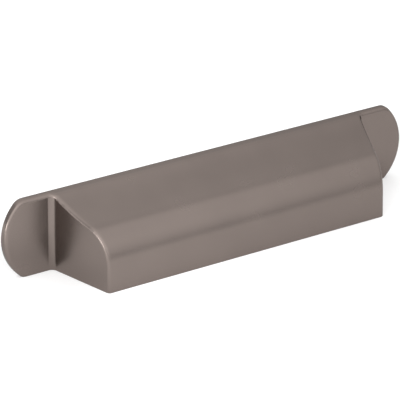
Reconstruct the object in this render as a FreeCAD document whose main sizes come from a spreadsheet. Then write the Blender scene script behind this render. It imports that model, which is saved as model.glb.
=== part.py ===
"""Sash lift handle: a hooded finger pull, cast in one piece and fixed from behind by two screws.

Millimetres. Origin midway between the two screw axes on the back (mounting) face.
+X runs along the handle, the hood projects towards -Y and +Z is up.
"""

import FreeCAD, Part

import math
import os

import Sketcher

V = FreeCAD.Vector
DOC = FreeCAD.newDocument("SashLift")
TOLERANCE = 1e-4

# Driving dimensions. Everything else follows from these cells.
SIZES = {
    # the outside of the casting
    "overall_length": 144.5,
    "body_height": 25.4,
    "projection": 25.4,
    "plate_thickness": 2.4,
    "ear_radius": 17.0,
    "ear_drop": 0.12,
    "ear_corner_radius": 4.0,
    "root_width": 112.6,
    "lip_width": 99.6,
    "cheek_draft": 1.25,
    "lip_height": 9.1,
    "shoulder_radius": 11.0,
    "slope_radius": 75.0,
    "rim_radius": 2.6,
    "root_fillet": 1.95,
    "edge_round": 1.2,
    "bottom_break": 0.3,
    # the hollow, and the screw bosses in it
    "wall": 2.2,
    "hole_centres": 96.0,
    "axis_height": 9.0,
    "boss_radius": 4.5,
    "boss_depth": 14.0,
    "web_thickness": 2.4,
    "tapped_radius": 1.80,
    "tapped_depth": 11.0,
    "lead_in_radius": 2.4,
    "lead_in_depth": 1.0,
    # the fixings, tightened on a rail: threads are plain cylinders, at the pitch line where they
    # are engaged and at the crests where they are free, and end in a bare neck under the head
    "rail_thickness": 18.0,
    "washer_radius": 4.5,
    "washer_bore_radius": 2.15,
    "washer_thickness": 0.8,
    "screw_length": 25.0,
    "crest_radius": 2.0,
    "pitch_radius": 1.77,
    "free_thread_gap": 0.2,
    "neck_length": 1.4,
    "point_chamfer": 0.5,
    "head_radius": 4.0,
    "head_height": 2.6,
    "head_edge_height": 1.1,
    "recess_width": 1.0,
    "recess_span": 4.4,
    "recess_depth": 1.7,
    # how far a cutting sketch runs past the metal
    "margin": 2.0,
}


def make_sheet():
    """Put the driving dimensions in a spreadsheet, one aliased cell each."""
    sheet = DOC.addObject("Spreadsheet::Sheet", "Sizes")
    for row, (name, value) in enumerate(SIZES.items(), start=1):
        sheet.set(f"A{row}", name)
        sheet.set(f"B{row}", str(value))
        sheet.setAlias(f"B{row}", name)
    DOC.recompute()
    return sheet


SHEET = make_sheet()


def size(expression):
    """The value of an expression in the sheet's cells."""
    return float(SHEET.evalExpression(expression))


# ---- small helpers for bodies and sketches ----


def new_body(name):
    body = DOC.addObject("PartDesign::Body", name)
    body.Label = name
    return body


def origin_plane(body, role):
    return next(f for f in body.Origin.OriginFeatures if f.Role == role)


def new_sketch(body, name, role, offset=None):
    """A sketch on one of the body's own planes, moved along its normal by an expression."""
    sketch = body.newObject("Sketcher::SketchObject", name)
    sketch.AttachmentSupport = [(origin_plane(body, role), "")]
    sketch.MapMode = "FlatFace"
    if offset:
        sketch.setExpression("AttachmentOffset.Base.z", offset)
    return sketch


def add_line(sketch, start, end):
    return sketch.addGeometry(Part.LineSegment(V(*start, 0), V(*end, 0)), False)


def add_arc(sketch, centre, radius, start_degrees, end_degrees):
    """A counter-clockwise arc."""
    circle = Part.Circle(V(*centre, 0), V(0, 0, 1), radius)
    ends = math.radians(start_degrees), math.radians(end_degrees)
    return sketch.addGeometry(Part.ArcOfCircle(circle, *ends), False)


def add_circle(sketch, centre, radius):
    return sketch.addGeometry(Part.Circle(V(*centre, 0), V(0, 0, 1), radius), False)


def add_helper_point(sketch, place):
    return sketch.addGeometry(Part.Point(V(*place, 0)), True)


def rule(sketch, kind, *where):
    sketch.addConstraint(Sketcher.Constraint(kind, *where))


def bind(sketch, kind, *where, to):
    """Add a dimension and tie it to an expression."""
    index = sketch.addConstraint(Sketcher.Constraint(kind, *where, size(to)))
    sketch.setExpression(f"Constraints[{index}]", to)


START, END, CENTRE = 1, 2, 3
H_AXIS, V_AXIS = -1, -2
ORIGIN = (H_AXIS, START)


def new_pad(body, name, sketch, length, symmetric=False):
    pad = body.newObject("PartDesign::Pad", name)
    pad.Profile = sketch
    pad.SideType = "Symmetric" if symmetric else "One side"
    pad.setExpression("Length", length)
    return pad


def new_pocket(body, name, sketch, length=None):
    """A pocket to a depth towards the sketch's normal, or right through both ways."""
    pocket = body.newObject("PartDesign::Pocket", name)
    pocket.Profile = sketch
    if length:
        pocket.Reversed = True
        pocket.setExpression("Length", length)
    else:
        pocket.SideType = "Symmetric"
        pocket.Type = "ThroughAll"
    return pocket


def new_leaning_pocket(body, name, sketch):
    """A pocket right through upwards and leaning inwards, so that the metal it leaves has draft."""
    pocket = body.newObject("PartDesign::Pocket", name)
    pocket.Profile = sketch
    pocket.Type = "ThroughAll"
    pocket.UseCustomVector = True
    pocket.Direction = V(0, 0, 1)
    pocket.setExpression("Direction.x", f"-{DRAFT}")
    return pocket


def mirror(body, name, features):
    """Repeat features of the right-hand side on the left."""
    mirrored = body.newObject("PartDesign::Mirrored", name)
    mirrored.Originals = features
    mirrored.MirrorPlane = (origin_plane(body, "YZ_Plane"), [""])
    body.Tip = mirrored
    DOC.recompute()
    return mirrored


def new_fillet(body, name, keep, radius):
    """Round every sharp edge of the body so far whose middle keep() accepts."""
    DOC.recompute()
    base = body.Tip
    fillet = body.newObject("PartDesign::Fillet", name)
    fillet.Base = (base, sharp_edges(base.Shape, keep))
    fillet.setExpression("Radius", radius)
    DOC.recompute()
    return fillet


def normal_at(face, point):
    return face.normalAt(*face.Surface.parameter(point))


# Two faces run smoothly into each other where the cosine between their normals is at least this.
SMOOTH = 0.999


def sharp_edges(shape, keep):
    """Names of the kept edges between faces that don't run smoothly into each other."""
    names = []
    for number, edge in enumerate(shape.Edges, start=1):
        middle = edge.valueAt((edge.FirstParameter + edge.LastParameter) / 2)
        faces = shape.ancestorsOfType(edge, Part.Face)
        if len(faces) != 2 or not keep(middle):
            continue
        if abs(normal_at(faces[0], middle) * normal_at(faces[1], middle)) < SMOOTH:
            names.append(f"Edge{number}")
    return names


# ---- the casting ----

BOTTOM = -size("Sizes.axis_height")
TOP = size("Sizes.body_height - Sizes.axis_height")
PLATE_FRONT = -size("Sizes.plate_thickness")
FRONT = -size("Sizes.projection")
LIP = BOTTOM + size("Sizes.lip_height")


def side_section(body, name, inset="0", overrun="0"):
    """The hood's side profile in the YZ plane: flat rim, bend, hollow slope, shoulder, front.

    inset moves the rim, slope, shoulder and front inwards, and overrun moves the open back and
    bottom outwards, both as expressions.
    """
    sketch = new_sketch(body, name, "YZ_Plane")
    gap, over = size(inset), size(overrun)
    rim = size("Sizes.rim_radius") - gap
    slope = size("Sizes.slope_radius") + gap
    shoulder = size("Sizes.shoulder_radius") - gap
    back, low, high, front = over, BOTTOM - over, TOP - gap, FRONT + gap
    rim_centre = V(PLATE_FRONT, high - rim, 0)
    shoulder_centre = V(front + shoulder, LIP, 0)
    slope_centre = meeting_point(rim_centre, slope + rim, shoulder_centre, slope + shoulder)
    to_slope = bearing(rim_centre, slope_centre)
    from_slope = bearing(shoulder_centre, slope_centre)

    rear = add_line(sketch, (back, low), (back, high))
    flat = add_line(sketch, (back, high), (PLATE_FRONT, high))
    bend = add_arc(sketch, (rim_centre.x, rim_centre.y), rim, 90, to_slope)
    hollow = add_arc(
        sketch, (slope_centre.x, slope_centre.y), slope, from_slope + 180, to_slope + 180
    )
    round_over = add_arc(sketch, (shoulder_centre.x, shoulder_centre.y), shoulder, from_slope, 180)
    face = add_line(sketch, (front, LIP), (front, low))
    under = add_line(sketch, (front, low), (back, low))

    rule(sketch, "Coincident", rear, END, flat, START)
    rule(sketch, "Tangent", flat, END, bend, START)
    rule(sketch, "Tangent", bend, END, hollow, END)
    rule(sketch, "Tangent", hollow, START, round_over, START)
    rule(sketch, "Tangent", round_over, END, face, START)
    rule(sketch, "Coincident", face, END, under, START)
    rule(sketch, "Coincident", under, END, rear, START)
    rule(sketch, "Vertical", rear)
    rule(sketch, "Horizontal", flat)
    rule(sketch, "Vertical", face)
    rule(sketch, "Horizontal", under)
    bind(sketch, "Radius", bend, to=f"Sizes.rim_radius - {inset}")
    bind(sketch, "Radius", hollow, to=f"Sizes.slope_radius + {inset}")
    bind(sketch, "Radius", round_over, to=f"Sizes.shoulder_radius - {inset}")
    bind(sketch, "DistanceX", bend, CENTRE, *ORIGIN, to="Sizes.plate_thickness")
    bind(sketch, "DistanceX", face, START, *ORIGIN, to=f"Sizes.projection - {inset}")
    bind(sketch, "DistanceY", face, END, face, START, to=f"Sizes.lip_height + {overrun}")
    bind(
        sketch, "DistanceY", *ORIGIN, rear, END,
        to=f"Sizes.body_height - Sizes.axis_height - {inset}",
    )
    bind(sketch, "DistanceY", rear, START, *ORIGIN, to=f"Sizes.axis_height + {overrun}")
    if over:
        bind(sketch, "DistanceX", *ORIGIN, rear, START, to=overrun)
    else:
        rule(sketch, "PointOnObject", rear, START, V_AXIS)
    return sketch


def meeting_point(centre_a, reach_a, centre_b, reach_b):
    """The upper point at the given distances from two centres."""
    apart = centre_b - centre_a
    along = (reach_a**2 - reach_b**2 + apart.Length**2) / (2 * apart.Length)
    across = math.sqrt(reach_a**2 - along**2)
    unit = apart / apart.Length
    sideways = V(-unit.y, unit.x, 0) if unit.x > 0 else V(unit.y, -unit.x, 0)
    return centre_a + unit * along + sideways * across


def bearing(start, end):
    """Direction from one point to another, in degrees from 0 to 360."""
    return math.degrees(math.atan2(end.y - start.y, end.x - start.x)) % 360


# How far a cheek moves inwards for each millimetre of height.
DRAFT = "tan(Sizes.cheek_draft * 1 deg)"


def outside_the_cheek(body, name):
    """Plan of the space in front of the right ear: cheek line, root fillet and ear face."""
    sketch = new_sketch(body, name, "XY_Plane", offset="-Sizes.axis_height")
    fillet = size("Sizes.root_fillet")
    root = V(size("Sizes.root_width / 2"), PLATE_FRONT, 0)
    lip = V(size("Sizes.lip_width / 2"), FRONT, 0)
    far_x = size("Sizes.overall_length / 2 + Sizes.margin")
    far_y = FRONT - size("Sizes.margin")
    down = (lip - root).normalize()
    outward = V(-down.y, down.x, 0)
    turn = bearing(V(0, 0, 0), -outward)
    setback = fillet * math.tan(math.radians((turn - 90) / 2))
    centre = root + V(setback, -fillet, 0)
    tangent = root + down * setback
    far_cheek = lip + down * (size("Sizes.margin") / -down.y)

    ear = add_line(sketch, (root.x + setback, PLATE_FRONT), (far_x, PLATE_FRONT))
    side = add_line(sketch, (far_x, PLATE_FRONT), (far_x, far_y))
    far = add_line(sketch, (far_x, far_y), (far_cheek.x, far_y))
    cheek = add_line(sketch, (far_cheek.x, far_y), (tangent.x, tangent.y))
    hollow = add_arc(sketch, (centre.x, centre.y), fillet, 90, turn)
    root_corner = add_helper_point(sketch, (root.x, root.y))
    lip_corner = add_helper_point(sketch, (lip.x, lip.y))

    rule(sketch, "Coincident", ear, END, side, START)
    rule(sketch, "Coincident", side, END, far, START)
    rule(sketch, "Coincident", far, END, cheek, START)
    rule(sketch, "Tangent", cheek, END, hollow, END)
    rule(sketch, "Tangent", ear, START, hollow, START)
    rule(sketch, "Horizontal", ear)
    rule(sketch, "Vertical", side)
    rule(sketch, "Horizontal", far)
    rule(sketch, "PointOnObject", root_corner, START, ear)
    rule(sketch, "PointOnObject", root_corner, START, cheek)
    rule(sketch, "PointOnObject", lip_corner, START, cheek)
    bind(sketch, "Radius", hollow, to="Sizes.root_fillet")
    bind(sketch, "DistanceY", ear, START, *ORIGIN, to="Sizes.plate_thickness")
    bind(sketch, "DistanceX", *ORIGIN, root_corner, START, to="Sizes.root_width / 2")
    bind(sketch, "DistanceX", *ORIGIN, lip_corner, START, to="Sizes.lip_width / 2")
    bind(sketch, "DistanceY", lip_corner, START, *ORIGIN, to="Sizes.projection")
    bind(sketch, "DistanceX", *ORIGIN, side, START, to="Sizes.overall_length / 2 + Sizes.margin")
    bind(sketch, "DistanceY", side, END, *ORIGIN, to="Sizes.projection + Sizes.margin")
    return sketch


def beyond_the_ear(body, name):
    """Front view of the space past the right ear's rounded end."""
    sketch = new_sketch(body, name, "XZ_Plane")
    radius = size("Sizes.ear_radius")
    middle = (TOP + BOTTOM) / 2 - size("Sizes.ear_drop")
    centre_x = size("Sizes.overall_length / 2") - radius
    over = size("Sizes.margin")
    far_x = centre_x + radius + over
    rise = size("Sizes.body_height / 2") + over
    end_x = centre_x + math.sqrt(radius**2 - rise**2)
    sweep = math.degrees(math.asin(rise / radius))

    end = add_arc(sketch, (centre_x, middle), radius, -sweep, sweep)
    above = add_line(sketch, (end_x, middle + rise), (far_x, middle + rise))
    side = add_line(sketch, (far_x, middle + rise), (far_x, middle - rise))
    below = add_line(sketch, (far_x, middle - rise), (end_x, middle - rise))

    rule(sketch, "Coincident", end, END, above, START)
    rule(sketch, "Coincident", above, END, side, START)
    rule(sketch, "Coincident", side, END, below, START)
    rule(sketch, "Coincident", below, END, end, START)
    rule(sketch, "Horizontal", above)
    rule(sketch, "Vertical", side)
    rule(sketch, "Horizontal", below)
    bind(sketch, "Radius", end, to="Sizes.ear_radius")
    bind(
        sketch, "DistanceX", *ORIGIN, end, CENTRE,
        to="Sizes.overall_length / 2 - Sizes.ear_radius",
    )
    bind(
        sketch, "DistanceY", *ORIGIN, end, CENTRE,
        to="Sizes.body_height / 2 - Sizes.axis_height - Sizes.ear_drop",
    )
    bind(sketch, "DistanceY", end, CENTRE, above, START, to="Sizes.body_height / 2 + Sizes.margin")
    bind(sketch, "DistanceY", below, START, end, CENTRE, to="Sizes.body_height / 2 + Sizes.margin")
    bind(
        sketch, "DistanceX", *ORIGIN, side, START,
        to="Sizes.overall_length / 2 + Sizes.margin",
    )
    return sketch


# The cheek's slant: how far it moves inwards for each millimetre of projection, and how far the
# wall's thickness moves its inner face along X.
SLANT = "(Sizes.root_width - Sizes.lip_width) / 2 / (Sizes.projection - Sizes.plate_thickness)"
CHEEK_WALL = f"Sizes.wall * sqrt(1 + ({SLANT}) ^ 2)"
# A margin below the bottom, the hollow's ends are wider than at the bottom by the draft.
CORE_INSET = f"({CHEEK_WALL} - Sizes.margin * {DRAFT})"


def outside_the_core(body, name):
    """Plan of the metal and space outside the hollow's right end, a margin below the bottom."""
    sketch = new_sketch(body, name, "XY_Plane", offset="-Sizes.axis_height - Sizes.margin")
    over = size("Sizes.margin")
    slant = size(SLANT)
    far_x = size("Sizes.overall_length / 2") + over
    root_x = size(f"Sizes.root_width / 2 - {CORE_INSET}")
    far_y = FRONT - over
    rear_x = root_x + slant * (over - PLATE_FRONT)
    front_x = root_x - slant * (PLATE_FRONT - far_y)

    rear = add_line(sketch, (rear_x, over), (far_x, over))
    side = add_line(sketch, (far_x, over), (far_x, far_y))
    far = add_line(sketch, (far_x, far_y), (front_x, far_y))
    cheek = add_line(sketch, (front_x, far_y), (rear_x, over))
    root_corner = add_helper_point(sketch, (root_x, PLATE_FRONT))
    lip_corner = add_helper_point(sketch, (size(f"Sizes.lip_width / 2 - {CORE_INSET}"), FRONT))

    for first, second in ((rear, side), (side, far), (far, cheek), (cheek, rear)):
        rule(sketch, "Coincident", first, END, second, START)
    rule(sketch, "Horizontal", rear)
    rule(sketch, "Vertical", side)
    rule(sketch, "Horizontal", far)
    rule(sketch, "PointOnObject", root_corner, START, cheek)
    rule(sketch, "PointOnObject", lip_corner, START, cheek)
    bind(sketch, "DistanceX", *ORIGIN, root_corner, START, to=f"Sizes.root_width / 2 - {CORE_INSET}")
    bind(sketch, "DistanceY", root_corner, START, *ORIGIN, to="Sizes.plate_thickness")
    bind(sketch, "DistanceX", *ORIGIN, lip_corner, START, to=f"Sizes.lip_width / 2 - {CORE_INSET}")
    bind(sketch, "DistanceY", lip_corner, START, *ORIGIN, to="Sizes.projection")
    bind(sketch, "DistanceY", *ORIGIN, rear, START, to="Sizes.margin")
    bind(sketch, "DistanceX", *ORIGIN, side, START, to="Sizes.overall_length / 2 + Sizes.margin")
    bind(sketch, "DistanceY", side, END, *ORIGIN, to="Sizes.projection + Sizes.margin")
    return sketch


def make_core():
    """The hollow under the hood, with room left in it for the two bosses and their webs."""
    core = new_body("core")
    section = side_section(core, "CoreSection", inset="Sizes.wall", overrun="Sizes.margin")
    new_pad(core, "CoreBlock", section, "Sizes.root_width", symmetric=True)
    ends = new_leaning_pocket(core, "CoreEnd", outside_the_core(core, "CoreEndPlan"))

    # The bosses and webs start at the block's rear face, a margin behind the mounting face.
    depth = "Sizes.boss_depth + Sizes.margin"
    boss_plan = new_sketch(core, "BossPlan", "XZ_Plane", offset="-Sizes.margin")
    ring = add_circle(boss_plan, (size("Sizes.hole_centres / 2"), 0), size("Sizes.boss_radius"))
    bind(boss_plan, "Radius", ring, to="Sizes.boss_radius")
    bind(boss_plan, "DistanceX", *ORIGIN, ring, CENTRE, to="Sizes.hole_centres / 2")
    rule(boss_plan, "PointOnObject", ring, CENTRE, H_AXIS)
    boss = new_pocket(core, "BossRoom", boss_plan, depth)

    web_plan = new_sketch(core, "WebPlan", "XZ_Plane", offset="-Sizes.margin")
    left = size("Sizes.hole_centres / 2 - Sizes.web_thickness / 2")
    right = size("Sizes.hole_centres / 2 + Sizes.web_thickness / 2")
    corners = [(left, 0), (right, 0), (right, TOP), (left, TOP)]
    edges = [add_line(web_plan, corners[i], corners[(i + 1) % 4]) for i in range(4)]
    for i in range(4):
        rule(web_plan, "Coincident", edges[i], END, edges[(i + 1) % 4], START)
    rule(web_plan, "Horizontal", edges[0])
    rule(web_plan, "Vertical", edges[1])
    rule(web_plan, "Horizontal", edges[2])
    rule(web_plan, "Vertical", edges[3])
    rule(web_plan, "PointOnObject", edges[0], START, H_AXIS)
    bind(
        web_plan, "DistanceX", *ORIGIN, edges[0], START,
        to="Sizes.hole_centres / 2 - Sizes.web_thickness / 2",
    )
    bind(web_plan, "DistanceX", edges[0], START, edges[0], END, to="Sizes.web_thickness")
    bind(
        web_plan, "DistanceY", edges[1], START, edges[1], END,
        to="Sizes.body_height - Sizes.axis_height",
    )
    web = new_pocket(core, "WebRoom", web_plan, depth)
    mirror(core, "CoreLeftEnd", [ends, boss, web])
    return core


def make_casting():
    casting = new_body("casting")
    section = side_section(casting, "SideSection")
    new_pad(casting, "Block", section, "Sizes.overall_length", symmetric=True)
    cheek = new_leaning_pocket(casting, "CheekCut", outside_the_cheek(casting, "CheekPlan"))
    ear = new_pocket(casting, "EarEndCut", beyond_the_ear(casting, "EarEndOutline"))
    mirror(casting, "LeftEnd", [cheek, ear])

    def on_ear_top_corner(p):
        return p.z > TOP - TOLERANCE and abs(p.y - PLATE_FRONT / 2) < TOLERANCE

    # Each rounding starts at a lip corner and follows the smooth chain of edges up the corner,
    # back along the slope, over the root fillet and round the ear.
    def on_lip_corner(p):
        return p.y < FRONT + TOLERANCE and abs(p.z - (BOTTOM + LIP) / 2) < TOLERANCE

    def on_bottom_outline(p):
        return p.y < -TOLERANCE and p.z < BOTTOM + TOLERANCE

    new_fillet(casting, "EarTopCorners", on_ear_top_corner, "Sizes.ear_corner_radius")
    new_fillet(casting, "FrontEdges", on_lip_corner, "Sizes.edge_round")
    new_fillet(casting, "BottomEdges", on_bottom_outline, "Sizes.bottom_break")

    hollow = casting.newObject("PartDesign::Boolean", "Hollow")
    hollow.Type = "Cut"
    hollow.setObjects([make_core()])
    casting.Tip = hollow
    DOC.recompute()

    axis_plan = new_sketch(casting, "ScrewAxis", "XZ_Plane")
    ring = add_circle(axis_plan, (size("Sizes.hole_centres / 2"), 0), size("Sizes.tapped_radius"))
    bind(axis_plan, "Radius", ring, to="Sizes.tapped_radius")
    bind(axis_plan, "DistanceX", *ORIGIN, ring, CENTRE, to="Sizes.hole_centres / 2")
    rule(axis_plan, "PointOnObject", ring, CENTRE, H_AXIS)
    DOC.recompute()
    hole = casting.newObject("PartDesign::Hole", "TappedHole")
    hole.Profile = axis_plan
    hole.Reversed = True
    hole.ThreadType = "None"
    hole.DepthType = "Dimension"
    hole.DrillPoint = "Angled"
    hole.HoleCutType = "Counterbore"
    hole.setExpression("Diameter", "2 * Sizes.tapped_radius")
    hole.setExpression("Depth", "Sizes.tapped_depth")
    hole.setExpression("HoleCutDiameter", "2 * Sizes.lead_in_radius")
    hole.setExpression("HoleCutDepth", "Sizes.lead_in_depth")
    DOC.recompute()
    mirror(casting, "LeftHole", [hole])
    return casting


# ---- the fixings ----

SEAT = "(Sizes.rail_thickness + Sizes.washer_thickness)"


def make_washer(side, direction):
    washer = new_body(f"washer_{side}")
    plan = new_sketch(washer, f"WasherPlan_{side}", "XZ_Plane", offset="-Sizes.rail_thickness")
    for name in ("Sizes.washer_radius", "Sizes.washer_bore_radius"):
        ring = add_circle(plan, (0, 0), size(name))
        rule(plan, "Coincident", ring, CENTRE, *ORIGIN)
        bind(plan, "Radius", ring, to=name)
    disc = new_pad(washer, f"Disc_{side}", plan, "Sizes.washer_thickness")
    disc.Reversed = True
    washer.setExpression("Placement.Base.x", f"{direction} * Sizes.hole_centres / 2")
    return washer


def screw_outline(body, side):
    """Half of the screw's lengthwise section: point, thread, neck, head and domed top."""
    sketch = new_sketch(body, f"ScrewSection_{side}", "XY_Plane")
    pitch = size("Sizes.pitch_radius")
    crest = size("Sizes.crest_radius")
    head = size("Sizes.head_radius")
    chamfer = size("Sizes.point_chamfer")
    seat = size(SEAT)
    tip = seat - size("Sizes.screw_length")
    free = size("Sizes.free_thread_gap")
    end = seat - size("Sizes.neck_length")
    rim = seat + size("Sizes.head_edge_height")
    crown = seat + size("Sizes.head_height")
    rise = crown - rim
    dome = (head**2 + rise**2) / (2 * rise)
    lean = math.degrees(math.asin(head / dome))

    corners = [
        (0, crown), (0, tip), (pitch - chamfer, tip), (pitch, tip + chamfer), (pitch, free),
        (crest, free), (crest, end), (pitch, end), (pitch, seat), (head, seat), (head, rim),
    ]
    chain = [add_line(sketch, a, b) for a, b in zip(corners, corners[1:])]
    axis, point, cone, engaged, step, thread, runout, neck, under, edge = chain
    top = add_arc(sketch, (0, crown - dome), dome, 90 - lean, 90)

    for first, second in zip(chain, chain[1:]):
        rule(sketch, "Coincident", first, END, second, START)
    rule(sketch, "Coincident", edge, END, top, START)
    rule(sketch, "Coincident", top, END, axis, START)
    for upright in (engaged, thread, neck, edge):
        rule(sketch, "Vertical", upright)
    for level in (point, step, runout, under):
        rule(sketch, "Horizontal", level)
    for on_axis in ((axis, START), (axis, END), (top, CENTRE)):
        rule(sketch, "PointOnObject", *on_axis, V_AXIS)
    bind(sketch, "DistanceX", *ORIGIN, engaged, START, to="Sizes.pitch_radius")
    bind(sketch, "DistanceX", *ORIGIN, thread, START, to="Sizes.crest_radius")
    bind(sketch, "DistanceX", *ORIGIN, neck, START, to="Sizes.pitch_radius")
    bind(sketch, "DistanceX", *ORIGIN, edge, START, to="Sizes.head_radius")
    bind(sketch, "DistanceX", cone, START, cone, END, to="Sizes.point_chamfer")
    bind(sketch, "DistanceY", cone, START, cone, END, to="Sizes.point_chamfer")
    bind(sketch, "DistanceY", *ORIGIN, under, START, to=SEAT)
    bind(sketch, "DistanceY", axis, END, under, START, to="Sizes.screw_length")
    bind(sketch, "DistanceY", *ORIGIN, thread, START, to="Sizes.free_thread_gap")
    bind(sketch, "DistanceY", neck, START, neck, END, to="Sizes.neck_length")
    bind(sketch, "DistanceY", edge, START, edge, END, to="Sizes.head_edge_height")
    bind(sketch, "DistanceY", under, START, axis, START, to="Sizes.head_height")
    return sketch


def make_screw(side, direction):
    screw = new_body(f"screw_{side}")
    turned = screw.newObject("PartDesign::Revolution", f"Turned_{side}")
    turned.Profile = screw_outline(screw, side)
    turned.ReferenceAxis = (turned.Profile[0], ["V_Axis"])
    DOC.recompute()

    # A cross recess: one slot pocket and the same slot a quarter turn on.
    plan = new_sketch(
        screw, f"RecessPlan_{side}", "XZ_Plane", offset=f"-{SEAT} - Sizes.head_height"
    )
    half_span, half_width = size("Sizes.recess_span / 2"), size("Sizes.recess_width / 2")
    corners = [
        (-half_span, -half_width), (half_span, -half_width),
        (half_span, half_width), (-half_span, half_width),
    ]
    edges = [add_line(plan, corners[i], corners[(i + 1) % 4]) for i in range(4)]
    for i in range(4):
        rule(plan, "Coincident", edges[i], END, edges[(i + 1) % 4], START)
    for level in (edges[0], edges[2]):
        rule(plan, "Horizontal", level)
    for upright in (edges[1], edges[3]):
        rule(plan, "Vertical", upright)
    rule(plan, "Symmetric", edges[0], START, edges[2], START, *ORIGIN)
    bind(plan, "DistanceX", edges[0], START, edges[0], END, to="Sizes.recess_span")
    bind(plan, "DistanceY", edges[1], START, edges[1], END, to="Sizes.recess_width")
    slot = new_pocket(screw, f"RecessSlot_{side}", plan, "Sizes.recess_depth")
    cross = screw.newObject("PartDesign::PolarPattern", f"RecessCross_{side}")
    cross.Originals = [slot]
    cross.Axis = (turned.Profile[0], ["V_Axis"])
    cross.Occurrences = 2
    cross.Angle = 90
    screw.Tip = cross
    screw.setExpression("Placement.Base.x", f"{direction} * Sizes.hole_centres / 2")
    return screw


# ---- build, check and write ----


def check_document(bodies):
    """Stop on any failed object, and on a null, invalid or multiple solid."""
    DOC.recompute()
    for item in DOC.Objects:
        if "Invalid" in item.State or "Error" in item.State:
            raise RuntimeError(f"{item.Label} failed: {item.State}")
    for body in bodies:
        shape = body.Shape
        if shape.isNull() or not shape.isValid() or len(shape.Solids) != 1:
            raise RuntimeError(f"{body.Label} is not one valid solid")


def main():
    bodies = [make_casting()]
    for side, direction in (("left", -1), ("right", 1)):
        bodies.append(make_washer(side, direction))
        bodies.append(make_screw(side, direction))
    check_document(bodies)
    os.makedirs("parts", exist_ok=True)
    for body in bodies:
        body.Shape.exportStep(f"parts/{body.Label}.step")
        box = body.Shape.optimalBoundingBox(False)
        print(
            f"{body.Label}: {body.Shape.Volume:.1f} mm3, x {box.XMin:.2f} to {box.XMax:.2f},"
            f" y {box.YMin:.2f} to {box.YMax:.2f}, z {box.ZMin:.2f} to {box.ZMax:.2f}"
        )


main()
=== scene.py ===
"""Looks for the hooded finger pull, in metres and in the CAD frame.

The casting keeps its CAD mesh and gets a satin pewter plating. The screws and washers are rebuilt
with real threads, recesses and rounded edges, in zinc plating. A pale floor with painted light and
shade in its glow, a light tent that the camera doesn't see, an even white room and the camera
follow.
"""

import math

import bmesh
import bpy
from mathutils import Matrix, Vector


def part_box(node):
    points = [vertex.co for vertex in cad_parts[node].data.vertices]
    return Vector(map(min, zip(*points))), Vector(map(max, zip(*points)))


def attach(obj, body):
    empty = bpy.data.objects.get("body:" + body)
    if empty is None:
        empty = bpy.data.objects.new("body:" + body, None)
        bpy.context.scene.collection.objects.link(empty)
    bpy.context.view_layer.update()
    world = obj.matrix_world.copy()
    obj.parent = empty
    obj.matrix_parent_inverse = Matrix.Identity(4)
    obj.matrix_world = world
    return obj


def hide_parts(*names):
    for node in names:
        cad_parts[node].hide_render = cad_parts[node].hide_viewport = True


MM = 0.001
SIDES = ("left", "right")
WHITE = (1, 1, 1, 1)

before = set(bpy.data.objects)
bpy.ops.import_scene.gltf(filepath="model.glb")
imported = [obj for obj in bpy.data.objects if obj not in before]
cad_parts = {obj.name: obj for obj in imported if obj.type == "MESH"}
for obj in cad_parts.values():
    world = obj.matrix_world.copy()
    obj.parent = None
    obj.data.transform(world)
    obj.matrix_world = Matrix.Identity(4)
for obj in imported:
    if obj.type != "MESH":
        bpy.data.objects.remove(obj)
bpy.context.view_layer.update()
SCENE = bpy.context.scene


# ---- node helpers ----

# Noise stays near the middle of 0 to 1, so these are its low and high values.
NOISE_LOW, NOISE_HIGH = 0.3, 0.7


def new_material(name):
    """A material with its Principled shader, ready for more nodes."""
    material = bpy.data.materials.new(name)
    material.use_nodes = True
    return material, material.node_tree, material.node_tree.nodes["Principled BSDF"]


def object_place(tree):
    """Where a point of the object lies in its own space, in metres."""
    return tree.nodes.new("ShaderNodeTexCoord").outputs["Object"]


def components(tree, vector):
    """The X, Y and Z of a vector, by name."""
    node = tree.nodes.new("ShaderNodeSeparateXYZ")
    tree.links.new(vector, node.inputs["Vector"])
    return {axis: node.outputs[axis] for axis in "XYZ"}


def calculate(tree, operation, *values):
    """Arithmetic on numbers, each a constant or another node's output."""
    node = tree.nodes.new("ShaderNodeMath")
    node.operation = operation
    for socket, value in zip(node.inputs, values):
        if isinstance(value, (int, float)):
            socket.default_value = value
        else:
            tree.links.new(value, socket)
    return node.outputs["Value"]


def calculate_vector(tree, operation, output, first, second=None):
    """Arithmetic on a vector and, where the operation takes two, a constant one."""
    node = tree.nodes.new("ShaderNodeVectorMath")
    node.operation = operation
    tree.links.new(first, node.inputs[0])
    if second is not None:
        node.inputs[1].default_value = second
    return node.outputs[output]


def change(tree, value, start, end, low, high, kind="SMOOTHSTEP"):
    """A change from low to high as a value goes from start to end."""
    node = tree.nodes.new("ShaderNodeMapRange")
    node.interpolation_type = kind
    for name, setting in zip(("From Min", "From Max", "To Min", "To Max"), (start, end, low, high)):
        node.inputs[name].default_value = setting
    tree.links.new(value, node.inputs["Value"])
    return node.outputs["Result"]


def curve(tree, value, stops, top):
    """A smooth curve through (place, level) stops, with places from 0 to 1 and levels up to top."""
    node = tree.nodes.new("ShaderNodeValToRGB")
    node.color_ramp.interpolation = "CARDINAL"
    elements = node.color_ramp.elements
    while len(elements) < len(stops):
        elements.new(0.5)
    for element, (place, level) in zip(elements, stops):
        element.position = place
        element.color = (level / top, level / top, level / top, 1)
    tree.links.new(value, node.inputs["Fac"])
    return calculate(tree, "MULTIPLY", node.outputs["Color"], top)


def noise(tree, where, scale, detail=2.0, roughness=0.5):
    """Noise in object space; scale counts features in a metre."""
    node = tree.nodes.new("ShaderNodeTexNoise")
    node.inputs["Scale"].default_value = scale
    node.inputs["Detail"].default_value = detail
    node.inputs["Roughness"].default_value = roughness
    tree.links.new(where, node.inputs["Vector"])
    return node.outputs["Fac"]


def spread(tree, value, low, high):
    """Map a noise value onto low to high."""
    return change(tree, value, NOISE_LOW, NOISE_HIGH, low, high, "LINEAR")


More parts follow.
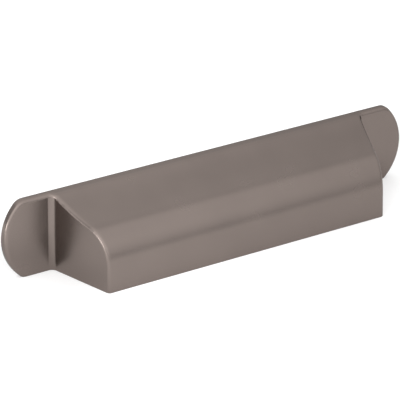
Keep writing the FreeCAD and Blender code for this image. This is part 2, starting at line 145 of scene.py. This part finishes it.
def tint(tree, value, dark, light):
    """Run from one colour to another by a noise value."""
    node = tree.nodes.new("ShaderNodeValToRGB")
    stops = zip(node.color_ramp.elements, (NOISE_LOW, NOISE_HIGH), (dark, light))
    for stop, place, color in stops:
        stop.position = place
        stop.color = (*color, 1)
    tree.links.new(value, node.inputs["Fac"])
    return node.outputs["Color"]


def bump(tree, height, distance, strength=0.5):
    """Turn a height value into a normal."""
    node = tree.nodes.new("ShaderNodeBump")
    node.inputs["Strength"].default_value = strength
    node.inputs["Distance"].default_value = distance
    tree.links.new(height, node.inputs["Height"])
    return node.outputs["Normal"]


# ---- metals ----

PEWTER_DARK, PEWTER_LIGHT = (0.1750, 0.1450, 0.1319), (0.1862, 0.1544, 0.1400)
PEWTER_ROUGHNESS = (0.24, 0.28)
# Under white, so that the plating hardly brightens where it is seen at a slant.
PEWTER_EDGE_TINT = 0.669
PEWTER_CLOUDS, PEWTER_GRAINS = 70, 3500
PEWTER_GRAIN_HEIGHT = 0.004 * MM

ZINC_DARK, ZINC_LIGHT = (0.50, 0.52, 0.55), (0.64, 0.65, 0.66)
ZINC_ROUGHNESS = (0.22, 0.36)
ZINC_BLOTCHES, ZINC_GRAINS = 500, 9000
ZINC_GRAIN_HEIGHT = 0.003 * MM
SCREW_SHADE, WASHER_SHADE = 0.6, 0.5


def satin_pewter():
    """Dark warm plating over a bead-blasted casting: an even satin with a very fine grain."""
    material, tree, shader = new_material("satin_pewter")
    where = object_place(tree)
    cloud = noise(tree, where, PEWTER_CLOUDS, detail=3)
    grain = noise(tree, where, PEWTER_GRAINS)
    shader.inputs["Metallic"].default_value = 1.0
    shader.inputs["Specular Tint"].default_value = (*[PEWTER_EDGE_TINT] * 3, 1)
    tree.links.new(tint(tree, cloud, PEWTER_DARK, PEWTER_LIGHT), shader.inputs["Base Color"])
    tree.links.new(spread(tree, cloud, *PEWTER_ROUGHNESS), shader.inputs["Roughness"])
    tree.links.new(bump(tree, grain, PEWTER_GRAIN_HEIGHT), shader.inputs["Normal"])
    return material


def zinc_plating(name, shade):
    """Zinc plating on steel: a cool metal with soft blotches and a fine grain."""
    material, tree, shader = new_material(name)
    where = object_place(tree)
    blotch = noise(tree, where, ZINC_BLOTCHES, detail=4, roughness=0.6)
    grain = noise(tree, where, ZINC_GRAINS)
    dark, light = ([c * shade for c in color] for color in (ZINC_DARK, ZINC_LIGHT))
    shader.inputs["Metallic"].default_value = 1.0
    tree.links.new(tint(tree, blotch, dark, light), shader.inputs["Base Color"])
    tree.links.new(spread(tree, blotch, *ZINC_ROUGHNESS), shader.inputs["Roughness"])
    tree.links.new(bump(tree, grain, ZINC_GRAIN_HEIGHT), shader.inputs["Normal"])
    return material


# ---- turned pieces ----

# The spokes of every ring, in degrees over a quarter turn. They are closest by the corners of a
# cross recess, and mirrored about 45 degrees to fit its four arms.
QUARTER = (0, 6.5, 12.8, 17.9, 26, 35.5, 45, 54.5, 64, 72.1, 77.2, 83.5)
SPOKES = [math.radians(90 * quarter + angle) for quarter in range(4) for angle in QUARTER]
MERGE_DISTANCE = 0.0002 * MM
SHARP_ANGLE = math.radians(35)


def spoke(axis, angle, radius, y):
    """A point about an axis along Y. A growing angle turns with a right-hand thread."""
    return axis + Vector((radius * math.cos(angle), y, -radius * math.sin(angle)))


def add_ring(bm, axis, radius, y):
    """One vertex on each spoke. The radius may be a function of the angle, and y of the radius."""
    radii = [(radius(a) if callable(radius) else radius) for a in SPOKES]
    heights = [y(r) if callable(y) else y for r in radii]
    return [bm.verts.new(spoke(axis, *place)) for place in zip(SPOKES, radii, heights)]


def bridge(bm, first, second):
    """Join two rings of vertices."""
    for i in range(len(first)):
        j = (i + 1) % len(first)
        bm.faces.new((first[i], first[j], second[j], second[i]))


def bridge_all(bm, rings):
    """Join each ring to the next."""
    for pair in zip(rings, rings[1:]):
        bridge(bm, *pair)


def close_ring(bm, ring, axis, y):
    """Fan a ring to a point on its axis."""
    tip = bm.verts.new((axis.x, y, axis.z))
    for i in range(len(ring)):
        bm.faces.new((ring[i], ring[(i + 1) % len(ring)], tip))


def rounded(before, corner, after, radius, steps=4):
    """Points of a small round in place of the corner of a section."""
    start = corner + (before - corner).normalized() * radius
    end = corner + (after - corner).normalized() * radius
    shares = [i / steps for i in range(steps + 1)]
    return [start * (1 - t) ** 2 + corner * 2 * t * (1 - t) + end * t**2 for t in shares]


def turning_axis(low, high):
    """The middle of a box across Y, where the axis of a turned piece runs."""
    return Vector(((low.x + high.x) / 2, 0, (low.z + high.z) / 2))


def finish_piece(bm, name, material, replaced):
    """Make an object of a bmesh, shade it, and let it stand for a CAD node."""
    bmesh.ops.remove_doubles(bm, verts=bm.verts, dist=MERGE_DISTANCE)
    bmesh.ops.recalc_face_normals(bm, faces=bm.faces)
    mesh = bpy.data.meshes.new(name)
    bm.to_mesh(mesh)
    bm.free()
    mesh.shade_smooth()
    mesh.set_sharp_from_angle(angle=SHARP_ANGLE)
    mesh.materials.append(material)
    piece = bpy.data.objects.new(name, mesh)
    SCENE.collection.objects.link(piece)
    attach(piece, "root")
    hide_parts(replaced)


# ---- screws ----

PITCH = 0.7 * MM
CREST_RADIUS = 2.0 * MM
THREAD_DEPTH = 0.43 * MM
# Widths in the thread's section, in pitches.
HALF_CREST, FLANK = 0.07, 0.36
# The stretch over which the thread fades at an end.
THREAD_FADE = 0.8 * PITCH
ROWS_PER_TURN = 12
# How far the modelled thread reaches into the casting. Past it the shank is plain and hidden.
HIDDEN_THREAD = 0.8 * MM

NECK_RADIUS = 1.77 * MM
NECK_LENGTH = 1.4 * MM
NECK_FILLET = 0.12 * MM
POINT_CHAMFER = 0.5 * MM

HEAD_HEIGHT = 2.6 * MM
HEAD_EDGE = 1.1 * MM
SEAT_ROUND = 0.15 * MM
RIM_ROUND = 0.35 * MM
# Rings on the dome, in shares of the head's radius, then on to the recess, in shares of the way.
DOME_RINGS = (0.85, 0.76, 0.68, 0.62)
MOUTH_RINGS = (0.35, 0.7, 1.0)

# The cross recess: half the span and half the width of its arms at three depths.
RECESS_MOUTH = (2.2 * MM, 0.5 * MM)
RECESS_LIP = (2.14 * MM, 0.45 * MM)
RECESS_FOOT = (1.2 * MM, 0.36 * MM)
LIP_DEPTH, FOOT_DEPTH, TIP_DEPTH = 0.07 * MM, 1.35 * MM, 1.7 * MM


def cross_outline(half_span, half_width):
    """The radius of a cross-shaped outline as a function of the angle."""

    def radius(angle):
        lean = abs((angle + math.pi / 4) % (math.pi / 2) - math.pi / 4)
        at_end = half_span / math.cos(lean)
        at_side = half_width / max(math.sin(lean), 1e-6)
        return min(at_end, at_side)

    return radius


def thread_radius(phase, fullness):
    """The thread's section over one pitch: a narrow crest, two flanks and a narrow root."""
    away = abs((phase + 0.5) % 1 - 0.5)
    level = 1 - min(1.0, max(0.0, (away - HALF_CREST) / FLANK))
    full = CREST_RADIUS - THREAD_DEPTH * (1 - level)
    return NECK_RADIUS + (full - NECK_RADIUS) * fullness


def add_thread(bm, axis, low, high):
    """A right-hand thread from one height to another, fading into a plain neck at both.

    Each row of vertices follows the helix, so crests and roots are clean lines. Rows that run past
    an end stop on it, where they merge.
    """
    turns = math.ceil((high - low) / PITCH) + 1
    grid = []
    for row in range(-ROWS_PER_TURN, turns * ROWS_PER_TURN + 1):
        line = []
        for angle in SPOKES:
            share = angle / math.tau
            y = min(max(low + PITCH * (row / ROWS_PER_TURN + share), low), high)
            fullness = min(1.0, (y - low) / THREAD_FADE, (high - y) / THREAD_FADE)
            radius = thread_radius((y - low) / PITCH - share, fullness)
            line.append(bm.verts.new(spoke(axis, angle, radius, y)))
        grid.append(line)
    for row, (line, following) in enumerate(zip(grid, grid[1:])):
        for i in range(len(SPOKES) - 1):
            bm.faces.new((line[i], line[i + 1], following[i + 1], following[i]))
        # The seam: one turn up, the first spoke continues the last.
        if row + ROWS_PER_TURN + 1 < len(grid):
            above = grid[row + ROWS_PER_TURN][0], grid[row + ROWS_PER_TURN + 1][0]
            bm.faces.new((line[-1], above[0], above[1], following[-1]))


def make_screw(side, material):
    """A pan-head machine screw with a cross recess, in the box of its CAD node."""
    node = f"screw_{side}"
    low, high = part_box(node)
    axis = turning_axis(low, high)
    head = (high.x - low.x) / 2
    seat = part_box(f"washer_{side}")[1].y
    rim, crown = seat + HEAD_EDGE, seat + HEAD_HEIGHT
    thread_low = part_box("casting")[1].y - HIDDEN_THREAD
    thread_high = seat - NECK_LENGTH
    dome_radius = (head**2 + (crown - rim) ** 2) / (2 * (crown - rim))

    def dome(radius):
        return crown - dome_radius + math.sqrt(dome_radius**2 - radius**2)

    bm = bmesh.new()
    # The hidden shank, from the point to the foot of the thread.
    shank = [
        add_ring(bm, axis, NECK_RADIUS - POINT_CHAMFER, low.y),
        add_ring(bm, axis, NECK_RADIUS, low.y + POINT_CHAMFER),
        add_ring(bm, axis, NECK_RADIUS, thread_low),
    ]
    bridge_all(bm, shank)
    close_ring(bm, shank[0], axis, low.y)
    add_thread(bm, axis, thread_low, thread_high)

    # The neck, the head's underside, edge and dome.
    neck_end, head_foot, head_rim = (
        Vector(point) for point in ((NECK_RADIUS, seat), (head, seat), (head, rim))
    )
    dome_points = [Vector((share * head, dome(share * head))) for share in DOME_RINGS]
    section = [
        Vector((NECK_RADIUS, thread_high)),
        Vector((NECK_RADIUS, seat - NECK_FILLET)),
        Vector((NECK_RADIUS + NECK_FILLET, seat)),
        *rounded(neck_end, head_foot, head_rim, SEAT_ROUND),
        *rounded(head_foot, head_rim, dome_points[0], RIM_ROUND),
        *dome_points,
    ]
    rings = [add_ring(bm, axis, point.x, point.y) for point in section]

    # Across the dome to the recess's mouth, and down into the recess.
    mouth, lip, foot = (cross_outline(*arms) for arms in (RECESS_MOUTH, RECESS_LIP, RECESS_FOOT))
    edge = section[-1].x
    for share in MOUTH_RINGS:
        rings.append(add_ring(bm, axis, lambda a: edge + (mouth(a) - edge) * share, dome))
    rings.append(add_ring(bm, axis, lip, lambda r: dome(r) - LIP_DEPTH))
    rings.append(add_ring(bm, axis, foot, crown - FOOT_DEPTH))
    bridge_all(bm, rings)
    close_ring(bm, rings[-1], axis, crown - TIP_DEPTH)
    finish_piece(bm, f"machine_screw_{side}", material, node)


# ---- washers ----

WASHER_BORE_RADIUS = 2.15 * MM
# Radii of its rounds: bore and rim on the rail's side, then rim and bore on the head's.
WASHER_ROUNDS = (0.06 * MM, 0.08 * MM, 0.24 * MM, 0.18 * MM)


def make_washer(side, material):
    """A stamped washer: rolled edges under the screw's head, and nearly sharp ones on the rail."""
    node = f"washer_{side}"
    low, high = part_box(node)
    axis = turning_axis(low, high)
    bore, outer = WASHER_BORE_RADIUS, (high.x - low.x) / 2
    outline = ((bore, low.y), (outer, low.y), (outer, high.y), (bore, high.y))
    corners = [Vector(point) for point in outline]
    section = []
    for i, (corner, radius) in enumerate(zip(corners, WASHER_ROUNDS)):
        section += rounded(corners[i - 1], corner, corners[(i + 1) % 4], radius)
    bm = bmesh.new()
    rings = [add_ring(bm, axis, point.x, point.y) for point in section]
    bridge_all(bm, [*rings, rings[0]])
    finish_piece(bm, f"plain_washer_{side}", material, node)


# ---- the object ----

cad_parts["casting"].material_slots[0].material = satin_pewter()

screw_zinc = zinc_plating("bright_zinc", SCREW_SHADE)
washer_zinc = zinc_plating("dull_zinc", WASHER_SHADE)
for side in SIDES:
    make_screw(side, screw_zinc)
    make_washer(side, washer_zinc)


# ---- floor, tent and room ----

CAST_LOW, CAST_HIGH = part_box("casting")
MIDDLE = (CAST_LOW + CAST_HIGH) / 2
UNDER = Vector((MIDDLE.x, MIDDLE.y, CAST_LOW.z))

# A factor on every level of light below.
LIGHT = 0.8
ROOM_LEVEL = 1.5

FLOOR_RADIUS = 6.0
FLOOR_SHADE, FLOOR_ROUGHNESS, FLOOR_SHINE = 0.6, 0.9, 0.1
# The floor's glow is the product of some steps, a painted pool of light at the front left: the axis
# that each is across, the places in metres where it starts and ends, and its levels there.
FLOOR_LIGHT_POOL_STEPS = (
    ("X", 0.08, -0.08, 0.52, 0.83),
    ("Y", 0.04, -0.02, 0.3, 1.0),
    ("Y", -0.14, -0.05, 0.1, 1.0),
)
# Painted light and shade in rounds by the handle: x, y and radius in metres, and the level in the
# middle. First a painted pool of light to the left, then a painted shadow in front of the left ear,
# then painted light that lightens the shadows in front of the left cheek and beside the right ear.
PAINTED_LIGHT_AND_SHADE_ROUNDS = (
    (-0.14, -0.02, 0.06, 0.9),
    (-0.06, -0.006, 0.018, -0.25),
    (-0.068, -0.028, 0.022, 0.2),
    (0.085, 0.005, 0.045, 0.12),
)
# Glow added by a step along Y behind the handle, and by one with the distance from it.
STEP_BEHIND = (0.02, 0.08, 0.0, 0.55)
STEP_AWAY = (0.13, 0.33, 0.0, 0.7)

TENT_RADIUS = 0.5
# Light levels across the tent, from its left side to its right, and the highest that fits.
ACROSS = (
    (0.0, 1.89), (0.19, 1.89), (0.37, 1.8), (0.6, 1.75), (0.69, 1.66), (0.78, 1.4), (0.9, 1.08),
    (1.0, 0.9),
)
ACROSS_TOP = 2.5
# Light levels over the tent, from the front horizon over the top to the back horizon.
OVER = (
    (0.0, 0.7), (0.06, 0.88), (0.14, 1.02), (0.3, 1.14), (0.5, 1.17), (0.57, 0.92), (0.65, 0.97),
    (0.73, 1.06), (0.84, 0.8), (1.0, 0.6),
)
OVER_TOP = 1.3
# Softly edged spots on the tent, brighter or darker: azimuth, elevation and radius in degrees, and
# the level in the middle.
SPOTS = (
    (0, 30, 45, 0.27),
    (-84, 0, 15, 7.8),
    (-72, 6, 38, 0.27),
    (-45, 22, 45, 0.55),
    (-68, 32, 24, 0.25),
    (-112, 28, 24, -0.9),
    (-155, 0, 45, -0.4),
    (95, 10, 40, 0.45),
)


def direction(azimuth, elevation):
    """A unit vector. Azimuth 0 is the front, -Y, and grows towards +X."""
    a, e = math.radians(azimuth), math.radians(elevation)
    return Vector((math.sin(a) * math.cos(e), -math.cos(a) * math.cos(e), math.sin(e)))


def pale_floor():
    """Matt white paper with a glow of its own, so that it stays white and shadows on it faint."""
    material, tree, shader = new_material("pale_floor")
    shader.inputs["Base Color"].default_value = (*[FLOOR_SHADE] * 3, 1)
    shader.inputs["Roughness"].default_value = FLOOR_ROUGHNESS
    shader.inputs["Specular IOR Level"].default_value = FLOOR_SHINE
    shader.inputs["Emission Color"].default_value = WHITE
    where = object_place(tree)
    place = components(tree, where)

    def away_from(*point):
        return calculate_vector(tree, "DISTANCE", "Value", where, point)

    # Painted light and shade: the glow is brighter at the front left, with painted pools of light
    # by the handle and a painted shadow in front of the left ear.
    glow = 1.0
    for axis, *step in FLOOR_LIGHT_POOL_STEPS:
        glow = calculate(tree, "MULTIPLY", glow, change(tree, place[axis], *step))
    added = [
        change(tree, away_from(x, y, 0), radius, 0.0, 0.0, level)
        for x, y, radius, level in PAINTED_LIGHT_AND_SHADE_ROUNDS
    ]
    added.append(change(tree, place["Y"], *STEP_BEHIND))
    added.append(change(tree, away_from(0, 0, 0), *STEP_AWAY))
    for extra in added:
        glow = calculate(tree, "ADD", glow, extra)
    glow = calculate(tree, "MULTIPLY", glow, LIGHT)
    tree.links.new(glow, shader.inputs["Emission Strength"])
    return material


def soft_spot(tree, where, azimuth, elevation, radius, level):
    """A round glow about a direction, fading smoothly to nothing at a radius in degrees."""
    unit = calculate_vector(tree, "NORMALIZE", "Vector", where)
    nearness = calculate_vector(tree, "DOT_PRODUCT", "Value", unit, direction(azimuth, elevation))
    return change(tree, nearness, math.cos(math.radians(radius)), 1.0, 0.0, level)


def tent_light():
    """A glow that changes across the tent and over it, with soft spots."""
    material = bpy.data.materials.new("tent_light")
    material.use_nodes = True
    tree = material.node_tree
    tree.nodes.clear()
    where = object_place(tree)
    place = components(tree, where)
    across = calculate(tree, "MULTIPLY_ADD", place["X"], 0.5 / TENT_RADIUS, 0.5)
    turn = calculate(tree, "ARCTAN2", place["Z"], calculate(tree, "MULTIPLY", place["Y"], -1.0))
    over = calculate(tree, "DIVIDE", turn, math.pi)
    level = calculate(
        tree, "MULTIPLY", curve(tree, across, ACROSS, ACROSS_TOP), curve(tree, over, OVER, OVER_TOP)
    )
    for spot in SPOTS:
        level = calculate(tree, "ADD", level, soft_spot(tree, where, *spot))
    glow = tree.nodes.new("ShaderNodeEmission")
    tree.links.new(calculate(tree, "MULTIPLY", level, LIGHT), glow.inputs["Strength"])
    output = tree.nodes.new("ShaderNodeOutputMaterial")
    tree.links.new(glow.outputs["Emission"], output.inputs["Surface"])
    return material


def set_under(bm, name, material):
    """Make an object of a bmesh, under the middle of the handle at the floor's height."""
    mesh = bpy.data.meshes.new(name)
    bm.to_mesh(mesh)
    bm.free()
    mesh.shade_smooth()
    mesh.materials.append(material)
    piece = bpy.data.objects.new(name, mesh)
    piece.location = UNDER
    SCENE.collection.objects.link(piece)
    return piece


def make_floor():
    """A wide round sheet under the lowest point."""
    bm = bmesh.new()
    bmesh.ops.create_circle(bm, cap_ends=True, segments=96, radius=FLOOR_RADIUS)
    floor = set_under(bm, "floor", pale_floor())


def make_tent():
    """A half sphere of light over the handle, open below."""
    bm = bmesh.new()
    bmesh.ops.create_icosphere(bm, subdivisions=4, radius=TENT_RADIUS)
    below = [v for v in bm.verts if v.co.z < -MM]
    bmesh.ops.delete(bm, geom=below, context="VERTS")
    tent = set_under(bm, "light_tent", tent_light())
    tent.visible_camera = False


def make_room():
    """An even white room outside the tent."""
    world = bpy.data.worlds.new("room")
    world.use_nodes = True
    SCENE.world = world
    background = world.node_tree.nodes["Background"]
    background.inputs["Color"].default_value = WHITE
    background.inputs["Strength"].default_value = ROOM_LEVEL * LIGHT


# ---- camera ----

AZIMUTH, ELEVATION, ROLL = -31.25, 25.68, -0.31
DISTANCE = 0.797
AIM = MIDDLE + Vector((-11.6, -2.3, 4.5)) * MM
# The lens and sensor are in millimetres, and the clipping distances in metres.
LENS, SENSOR = 235.3, 36
CLIP_START, CLIP_END = 0.05, 20


def make_camera():
    """A long lens, from the front, the left and above, with the slightest roll."""
    data = bpy.data.cameras.new("camera")
    data.lens, data.sensor_width = LENS, SENSOR
    data.clip_start, data.clip_end = CLIP_START, CLIP_END
    camera = bpy.data.objects.new("camera", data)
    back = direction(AZIMUTH, ELEVATION)
    level = Vector((0, 0, 1)).cross(back).normalized()
    upright = back.cross(level)
    roll = math.radians(ROLL)
    right = math.cos(roll) * level + math.sin(roll) * upright
    top = back.cross(right)
    turn = Matrix((right, top, back)).transposed().to_4x4()
    camera.matrix_world = Matrix.Translation(AIM + back * DISTANCE) @ turn
    SCENE.collection.objects.link(camera)
    SCENE.camera = camera


make_floor()
make_tent()
make_room()
make_camera()
SCENE.view_settings.view_transform = "Standard"
